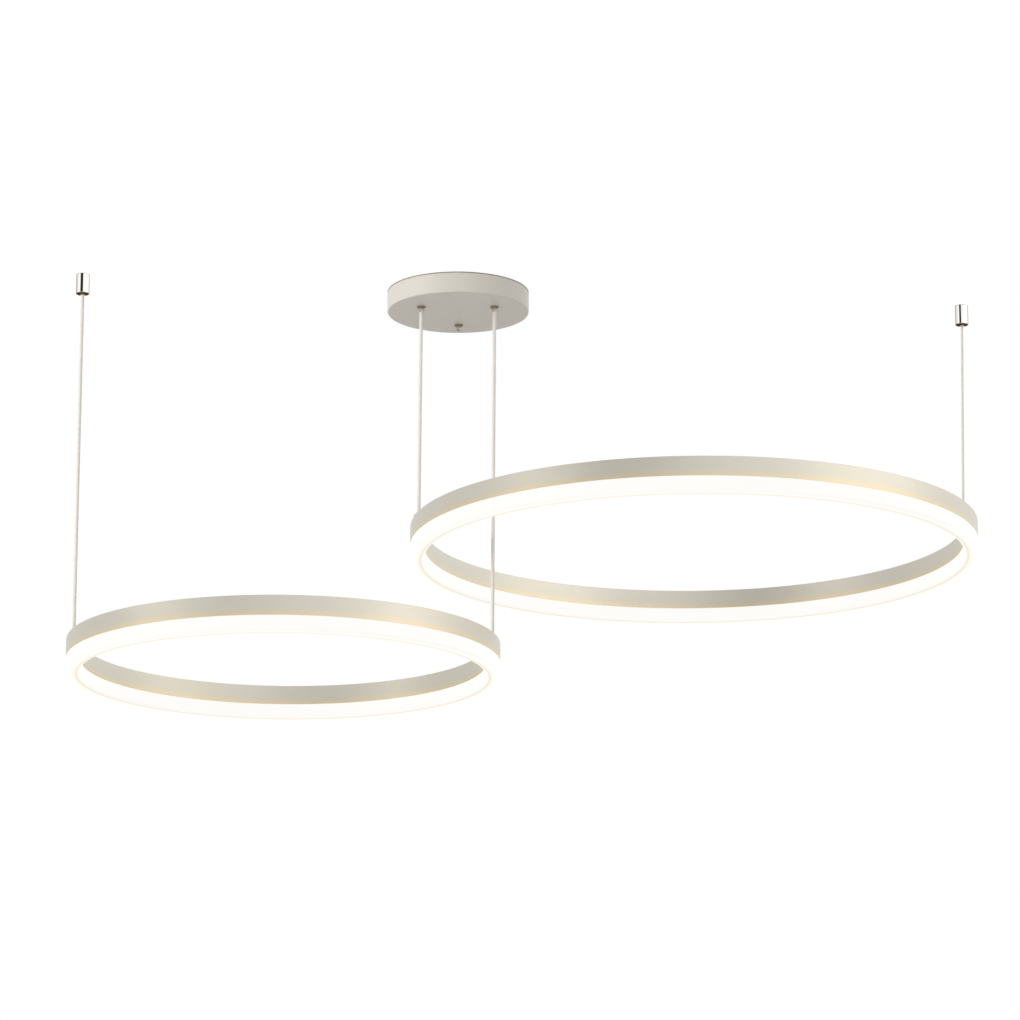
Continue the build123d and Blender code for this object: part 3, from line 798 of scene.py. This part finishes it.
for turn in (0.0, pi):
    holes += placed([sideways(lathe(sunk, 0, 32))], (0, 0, -screw_drop), turn)
cut(cover, holes)
mark_rise(cover, -canopy_height)
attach(cover, "ceiling_unit")
dress_nodes(canopy_paint, "cover_screws")

# Cord grippers in the canopy. Three threaded bodies, turned from brass and lacquered in dark champagne, each
# with a thin flange outside the dish and a hexagon nut inside it. A spring pushes a slit plunger down on the
# cord; pushed up by its tip, the plunger lets the cord run.
flange_radius = 6.2 * mm
flange_height = 2 * mm
flange_bottom = -canopy_height - flange_height
gripper_height = 18 * mm
thread_radius = 5 * mm
thread_pitch = 1 * mm
thread_depth = 0.45 * mm
thread_lines = 160
guide_radius = 3.3 * mm
guide_height = 5 * mm
bore_radius = 4.2 * mm
cone_top = 9 * mm
nut_flats = 14 * mm
nut_hole = thread_radius + 0.05 * mm
nut_bottom = 3.2 * mm
nut_top = 6.2 * mm


def threaded_body():
    """The body of a gripper. Between flange and top its side is a helical thread: the radius falls and
    rises once for each pitch of height and shifts by a pitch in each turn."""
    heights = np.linspace(flange_height + 0.1 * mm, gripper_height - 0.1 * mm, thread_lines)
    corners = [
        (guide_radius, 0.0),
        (flange_radius - 0.5 * mm, 0.0),
        (flange_radius, 0.5 * mm),
        (flange_radius, flange_height),
        (thread_radius, flange_height),
        *[(thread_radius, height) for height in heights],
        (thread_radius, gripper_height),
        (bore_radius, gripper_height),
        (bore_radius, cone_top),
        (guide_radius, guide_height),
    ]
    radii = [0.2 * mm, 0.1 * mm, 0.1 * mm, 0.15 * mm] + [0.0] * (thread_lines + 2) + [0.2 * mm, 0.0, 0.0]
    grid = turned(rounded(corners, radii), 48)
    height, (radius, turn) = grid[..., 2], polar(grid)
    fade = np.clip((height - flange_height - 0.3 * mm) / thread_pitch, 0, 1)
    fade *= np.clip((gripper_height + 0.1 * mm - height) / thread_pitch + 0.3, 0, 1)
    fade *= np.abs(radius - thread_radius) < 1e-6
    wave = np.abs(((height / thread_pitch - turn / tau) % 1.0) * 2 - 1)
    grid[..., :2] *= (1 - fade * thread_depth * wave / radius)[..., None]
    return skin(grid, True, True)


def hexagon_nut():
    """A turned blank cut to six flats: the radius is the smaller of the blank's and the hexagon's."""
    flat = nut_flats / 2
    corner = flat / cos(pi / 6)
    chamfer = 0.6 * (corner - flat)
    corners = [
        (nut_hole, nut_bottom),
        (flat - 0.1 * mm, nut_bottom),
        (corner, nut_bottom + chamfer),
        (corner, nut_top - chamfer),
        (flat - 0.1 * mm, nut_top),
        (nut_hole, nut_top),
    ]
    grid = turned(rounded(corners, [0.3 * mm, 0.05 * mm, 0, 0, 0.05 * mm, 0.3 * mm]), 96)
    radius, turn = polar(grid)
    edge = flat / np.cos((turn + pi / 6) % (pi / 3) - pi / 6)
    grid[..., :2] *= np.minimum(1, edge / radius)[..., None]
    return skin(grid, True, True)


outlet_bronze = turned_metal(
    "outlet_bronze", colour(140, 128, 112), colour(158, 147, 131), (150.0, 6000.0, 1.0), (0.28, 0.4),
    Metallic=0.75, Roughness=0.34,
)
nuts = []
for side, (x, y, _) in outlets.items():
    spot = (x, y, flange_bottom)
    piece(
        side + "_gripper", placed([threaded_body()], spot), outlet_bronze,
        "ceiling_unit", [side + "_gripper_body"],
    )
    nuts += placed([hexagon_nut()], spot)
piece("gripper_lock_nuts", nuts, nickel_steel, "ceiling_unit", ["gripper_nuts"])
pale_bronze = plain_finish(
    "pale_bronze", colour(168, 160, 147), colour(190, 183, 171), 900.0, 0.3, 0.00001, Metallic=0.75
)
dress_nodes(pale_bronze, "left_plunger", "right_plunger", "rear_plunger", "rear_blanking_pin")
dress_nodes(nickel_steel, "gripper_retainers")

# Ceiling anchors. Two small cylinders, turned from brass and chrome plated, screw onto discs that are fixed
# to the ceiling. Each holds a cord gripper like the canopy's, with only its plunger's short tip showing.
anchor_spots = {"right": (0.726224, 0.065058, 0.0), "left": (-0.527868, -0.085591, 0.0)}
anchor_radius = 9.3 * mm
anchor_height = 28.5 * mm
anchor_edge = 0.8 * mm
chamber_radius = 7.6 * mm
chamber_bottom = 18.5 * mm


def plated():
    """Polished chrome with the softest trace of handling in its gloss, and a painted dark reflection on
    both ends of a barrel.
    """
    made = finish("chrome", Metallic=1.0, Roughness=0.06, Specular_Tint=colour(120, 110, 94))
    rise = node(made, "Attribute", output="Fac", attribute_name="rise")
    # Painted reflection: a mask that is 1 at both rounded ends of a barrel, which colours them dark brown
    # grey.
    middle = node(made, "Math", {0: rise, 1: anchor_height / 2}, operation="SUBTRACT")
    away = node(made, "Math", {0: middle}, operation="ABSOLUTE")
    near, far = anchor_height / 2 - anchor_edge, anchor_height / 2 - 0.5 * mm
    end = node(made, "MapRange", {"Value": away, "From Min": near, "From Max": far})
    feed(made, "Base Color", shades(made, end, colour(247, 245, 241), colour(158, 146, 126)))
    haze = stretched_noise(made, "Object", (180.0, 180.0, 180.0), 2.0)
    feed(made, "Roughness", spread(made, haze, 0.03, 0.09))
    return made


chrome = plated()
barrel = lathe(
    [
        (guide_radius, 0.0),
        (anchor_radius, 0.0),
        (anchor_radius, anchor_height),
        (chamber_radius, anchor_height),
        (chamber_radius, chamber_bottom),
        (bore_radius, chamber_bottom),
        (bore_radius, cone_top),
        (guide_radius, guide_height),
    ],
    [0.3 * mm, anchor_edge, 0.25 * mm, 0.2 * mm, 0, 0.2 * mm, 0, 0],
    steps=128,
    arc_steps=6,
)
for side, (x, y, _) in anchor_spots.items():
    spot = (x, y, -anchor_height)
    cylinder = piece(
        side + "_chrome_barrel", placed([barrel], spot), chrome,
        "ceiling_unit", [side + "_anchor_barrel"],
    )
    mark_rise(cylinder, -anchor_height)
dress_nodes(zinc_steel, "left_anchor_base", "right_anchor_base")
dress_nodes(nickel_steel, "left_anchor_plunger", "right_anchor_plunger")

# Gripper springs and cord tails. A small coil spring of hard steel wire sits on each plunger's head, under a
# retainer. The last stretch of each cord runs up through its gripper and is trimmed above it, where the
# canopy's cords meet their leads.
wire_radius = 0.3 * mm
coil_radius = 3.5 * mm
spring_bottom = 9.45 * mm
spring_top = 14.55 * mm
spring_turns = 4.1
coil_steps = 190
wire_sides = 10
outlet_tail = (-5.6 * mm, 20 * mm)
anchor_tail = (-2 * mm, 18 * mm)


def coil():
    """Circles of wire carried up a helix, closed at both ends."""
    share = np.linspace(0, 1, coil_steps)
    share = share[np.concatenate([[0], np.arange(len(share)), [-1]])]
    turn = tau * spring_turns * share
    rise = spring_bottom + (spring_top - spring_bottom) * share
    out = np.stack([np.cos(turn), np.sin(turn), 0 * turn], axis=-1)
    slope = (spring_top - spring_bottom) / spring_turns / tau / coil_radius
    way = np.stack([-np.sin(turn), np.cos(turn), np.full_like(turn, slope)], axis=-1)
    way /= np.linalg.norm(way, axis=1, keepdims=True)
    size = np.full(len(turn), wire_radius)
    size[[0, -1]] = 0
    around = np.linspace(0, tau, wire_sides, endpoint=False)[:, None, None]
    wire = np.cos(around) * out + np.sin(around) * np.cross(out, way)
    centre = coil_radius * out + rise[:, None] * (0, 0, 1)
    return skin(centre + size[:, None] * wire, round_first=True)


spring_steel = plain_finish(
    "spring_steel", colour(150, 150, 150), colour(176, 176, 175), 2500.0, 0.24, 0.00001, Metallic=1.0
)
mouths = {side: (x, y, flange_bottom) for side, (x, y, _) in outlets.items()}
mouths.update({side + "_anchor": (x, y, -anchor_height) for side, (x, y, _) in anchor_spots.items()})
for side, (x, y, z) in mouths.items():
    spring = piece(
        side + "_coil_spring", placed([coil()], (x, y, z)), spring_steel, None,
        [side + "_gripper_spring"],
    )
    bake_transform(spring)

power_tails, anchor_tails = [], []
for side in ("left", "right"):
    x, y, z = mouths[side]
    power_tails.append(tube([(x, y, z + height) for height in outlet_tail], power_cord_radius))
    x, y, z = mouths[side + "_anchor"]
    anchor_tails.append(tube([(x, y, z + height) for height in anchor_tail], anchor_cord_radii[side]))
piece("power_cord_tails", power_tails, power_jacket, "ceiling_unit", ["cord_tails"])
piece("anchor_cord_tails", anchor_tails, anchor_jacket, "ceiling_unit", ["cord_tails"])

# Mounting strap. A strip of 2 mm steel, zinc plated, with both ends bent down into lugs. Two slots take the
# screws into the ceiling and a larger hole the mains lead. An earth screw with its washer sits beside it.
strap_reach = 97 * mm
strap_width = 30 * mm
strap_thickness = 2 * mm
strap_bend = 3 * mm
lug_drop = 14 * mm
slot_spacing = 70 * mm
slot_length = 16 * mm
slot_radius = 2.5 * mm
mains_hole = (16 * mm, 6 * mm)
earth_hole = (-18 * mm, 2 * mm)
lug_hole = 2 * mm


def capped(grid):
    """A grid whose skin is closed at both ends of its first way, by lines drawn together to a point."""
    ends = [np.broadcast_to(line.mean(axis=1, keepdims=True), line.shape) for line in (grid[:1], grid[-1:])]
    return np.concatenate([ends[0], grid, ends[1]])


def strip_skins():
    """A rectangular section with broken edges, carried along a path with two quarter bends."""
    inner = strap_reach - strap_thickness / 2
    middle = -strap_thickness / 2
    path = [(-inner, -lug_drop), (-inner, middle), (inner, middle), (inner, -lug_drop)]
    path = rounded(path, strap_bend, closed=False, steps=8)
    way = np.gradient(path, axis=0)
    way /= np.linalg.norm(way, axis=1, keepdims=True)
    half_y, half_z = strap_width / 2, strap_thickness / 2
    section = rounded(rectangle(-half_y, -half_z, half_y, half_z), 0.25 * mm)
    across, out = section[None, :, 0], section[None, :, 1]
    x = path[:, 0, None] - way[:, 1, None] * out
    z = path[:, 1, None] + way[:, 0, None] * out
    return skin(capped(np.stack([x, across + 0 * x, z], axis=-1))[:, ::-1], round_second=True)


def slot_drill(length, radius, bottom, top):
    """A closed prism with round ends that cuts a slot along X."""
    points, faces, uv = drill(radius, bottom, top)
    points[:, 0] += np.sign(points[:, 0]) * (length / 2 - radius)
    return points, faces, uv


strap = piece("ceiling_strap", [strip_skins()], zinc_steel, None, ["mounting_strap"])
below, above = -strap_thickness - 1 * mm, 1 * mm
slots = [(-slot_spacing / 2, 0, 0), (slot_spacing / 2, 0, 0)]
holes = at_each([slot_drill(slot_length, slot_radius, below, above)], slots)
for x, radius in (mains_hole, earth_hole):
    holes += placed([drill(radius, below, above)], (x, 0, 0))
for lug in (strap_thickness / 2 - strap_reach, strap_reach - strap_thickness / 2):
    holes += placed([sideways(drill(lug_hole, lug - 3 * mm, lug + 3 * mm))], (0, 0, -screw_drop))
cut(strap, holes)
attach(strap, "ceiling_unit")
dress_nodes(zinc_steel, "earth_screw")

# Mains parts. A moulded driver for each ring and a three-pole terminal block are stuck to the dish's floor
# with foam pads. White leads join the mains terminal to the drivers, and the drivers to the two power cords.
driver_length = 120 * mm
driver_width = 29 * mm
driver_height = 20 * mm
pad_thickness = 1 * mm
driver_bottom = cover_wall - canopy_height + pad_thickness
driver_middles = {"large": -1.5 * mm, "small": 29.5 * mm}
joint_level = 12.7 * mm
joint_gap = 0.4 * mm
joint_depth = 0.45 * mm
lid_level = driver_height - 0.6 * mm
lid_radius = 1.6 * mm
rib_count = 12
rib_pitch = 6 * mm
rib_width = 1.6 * mm
rib_rise = 1.2 * mm


def driver_skins():
    """A moulded box with round corners and a groove where its lid joins. Its bottom and its top are drawn in
    to a short line."""
    half_x, half_y = driver_length / 2, driver_width / 2
    plan = rounded(rectangle(-half_x, -half_y, half_x, half_y), 2.5 * mm, steps=8)
    side = [
        (half_y - 0.01 * mm, 0.0),
        (0.0, 0.0),
        (0.0, joint_level - 0.1 * mm),
        (joint_depth, joint_level),
        (joint_depth, joint_level + joint_gap),
        (0.0, joint_level + joint_gap + 0.1 * mm),
        (0.0, lid_level),
        (half_y - 0.01 * mm, lid_level),
    ]
    side_radii = [0, lid_radius] + [0.05 * mm] * 4 + [lid_radius, 0]
    side = rounded(side, side_radii, closed=False, steps=5)
    inset, height = side[None, :, 0], side[None, :, 1]
    x, y = plan[:, 0, None], plan[:, 1, None]
    grid = np.stack([x * (1 - inset / half_x), y * (1 - inset / half_y), height + 0 * x], axis=-1)
    return skin(capped(grid.swapaxes(0, 1)).swapaxes(0, 1), round_first=True)


def bar(length, width, bottom, top, edge):
    """A straight bar along X with rounded long edges and closed ends."""
    half = width / 2
    section = rounded(rectangle(-half, bottom, half, top), [0, 0, edge, edge])
    ends = np.array([-length / 2, -length / 2 + edge, length / 2 - edge, length / 2])
    size = np.array([1 - edge / half, 1, 1, 1 - edge / half])
    y, z = section[None, :, 0] * size[:, None], section[None, :, 1] + 0 * size[:, None]
    return skin(capped(np.stack([ends[:, None] + 0 * y, y, z], axis=-1))[:, ::-1], round_second=True)


driver_case = plain_finish("driver_case", colour(228, 228, 224), colour(236, 236, 232), 1600.0, 0.5, 0.00003)
pad_foam = plain_finish("pad_foam", colour(52, 52, 54), colour(78, 78, 80), 1300.0, 0.9, 0.00015)
terminal_plastic = plain_finish(
    "terminal_plastic", colour(230, 227, 218), colour(238, 236, 229), 500.0, 0.38, 0.00002, Coat_Weight=0.1
)
brass = plain_finish("brass", colour(204, 168, 98), colour(222, 190, 122), 1800.0, 0.3, 0.00001, Metallic=1.0)
rib = bar(driver_width - 7 * mm, rib_width, driver_height - rib_rise, driver_height, 0.3 * mm)
rib_spots = [((step - (rib_count - 1) / 2) * rib_pitch, 0, 0) for step in range(rib_count)]
ribs = at_each(placed([rib], (0, 0, 0), pi / 2), rib_spots)
for ring, y in driver_middles.items():
    parts = placed([driver_skins(), *ribs], (0, y, driver_bottom))
    piece(ring + "_driver_box", parts, driver_case, "ceiling_unit", [ring + "_ring_driver"])
dress_nodes(pad_foam, "mounting_pads")
dress_nodes(terminal_plastic, "terminal_block")
dress_nodes(brass, "terminal_screws")
dress_nodes(lead_jacket, "canopy_leads")

# Room. A pale floor fades with distance into a white surround. A broad soft lamp stands at the left, weaker
# ones at the right and low in front. One dark card and two glowing ones show in gloss and nowhere else.
floor_level = -2.4
floor_half = 8.0
fade_start = 2.4
fade_end = 6.0
near_fade = 0.5
surround_light = 0.42
surround_gloss_left = 0.80
surround_gloss_right = 1.18


def flat(name, corners, material):
    """One square face that isn't part of the light."""
    mesh = bpy.data.meshes.new(name)
    mesh.from_pydata(corners, [], [(0, 1, 2, 3)])
    mesh.materials.append(material)
    made = linked(name, mesh)
    return made


def floor_paint():
    """Pale matt paint that goes over into the white surround with distance. From below it is clear."""
    made = finish("floor_paint", Base_Color=colour(240, 239, 237), Roughness=0.8)
    shader = made.node_tree.nodes["Principled BSDF"].outputs["BSDF"]
    place = node(made, "TexCoord", output="Object")
    reach = node(made, "VectorMath", {"Vector": place}, "Value", operation="LENGTH")
    inputs = {"Value": reach, "From Min": fade_start, "From Max": fade_end, "To Min": near_fade}
    fade = node(made, "MapRange", inputs, interpolation_type="SMOOTHSTEP")
    seen = node(made, "LightPath", output="Is Camera Ray")
    share = node(made, "Math", {0: fade, 1: seen}, operation="MULTIPLY")
    white = node(made, "Emission", {"Color": colour(255, 255, 255), "Strength": 1.0})
    top = node(made, "MixShader", {0: share, 1: shader, 2: white})
    side = node(made, "NewGeometry", output="Backfacing")
    mix = node(made, "MixShader", {0: side, 1: top, 2: node(made, "BsdfTransparent")})
    made.node_tree.links.new(mix, made.node_tree.nodes["Material Output"].inputs["Surface"])
    return made


floor_plan = rectangle(-floor_half, -floor_half, floor_half, floor_half)
flat("floor", [(x, y, floor_level) for x, y in floor_plan], floor_paint())


def card(name, low_left, high_right, material):
    """An upright square face that shows in gloss and nowhere else."""
    (x0, y0, z0), (x1, y1, z1) = low_left, high_right
    shown = flat(name, [(x0, y0, z0), (x1, y1, z0), (x1, y1, z1), (x0, y0, z1)], material)
    shown.visible_camera = False
    shown.visible_diffuse = False
    shown.visible_shadow = False
    material.cycles.emission_sampling = "NONE"


def glowing(name, level):
    """White fabric with a lamp behind it."""
    light = colour(255, 252, 246)
    return finish(name, Base_Color=colour(0, 0, 0), Emission_Color=light, Emission_Strength=level)


card_paint = finish("card_paint", Base_Color=colour(12, 11, 10), Roughness=0.9)
card("dark_card", (-2.3, -2.7, 0.5), (-0.1, -2.7, 2.0), card_paint)
card("right_card", (2.9, -2.6, -1.6), (4.2, 0.2, 1.6), glowing("right_fabric", 1.6))
card("left_card", (-4.2, -0.9, -1.6), (-3.6, -2.3, 1.6), glowing("left_fabric", 1.2))

world = bpy.data.worlds.new("surround")
world.use_nodes = True
bpy.context.scene.world = world
kinds = ("Is Camera Ray", "Is Transmission Ray", "Is Glossy Ray")
seen, through, glossy = (node(world, "LightPath", output=kind) for kind in kinds)
plain = node(world, "Math", {0: seen, 1: through}, operation="ADD", use_clamp=True)
level = node(world, "MapRange", {"Value": plain, "To Min": surround_light})
way = node(world, "SeparateXYZ", {"Vector": node(world, "TexCoord", output="Generated")})
inputs = {"Value": way, "From Min": -1.0, "To Min": surround_gloss_left, "To Max": surround_gloss_right}
gloss = node(world, "MapRange", inputs)
picked = node(world, "Mix", {"Factor": glossy, 2: level, 3: gloss})
background = world.node_tree.nodes["Background"]
background.inputs["Color"].default_value = (1.0, 1.0, 1.0, 1.0)
world.node_tree.links.new(picked, background.inputs["Strength"])


def soft_lamp(name, place, target, size, power, tint):
    """A square area lamp that faces a point."""
    data = bpy.data.lights.new(name, "AREA")
    data.shape = "RECTANGLE"
    data.size, data.size_y = size
    data.energy = power
    data.color = tint
    lamp = linked(name, data)
    lamp.location = place
    lamp.visible_glossy = False
    way_x, way_y, way_z = (float(end - start) for start, end in zip(place, target))
    lamp.rotation_euler = (atan2(hypot(way_x, way_y), -way_z), 0, atan2(-way_x, way_y))


soft_lamp("left_lamp", (-3.8, -2.2, 0.3), (0.0, 0.0, -0.2), (2.4, 2.4), 130.0, (1.0, 1.0, 0.99))
soft_lamp("right_lamp", (3.6, -3.4, 0.4), (0.2, 0.0, -0.4), (2.0, 2.0), 40.0, (1.0, 0.98, 0.95))
soft_lamp("low_lamp", (0.3, -2.4, -2.2), (0.1, 0.0, -0.4), (2.4, 1.6), 12.5, (1.0, 0.94, 0.86))

bpy.context.scene.view_settings.view_transform = "Standard"
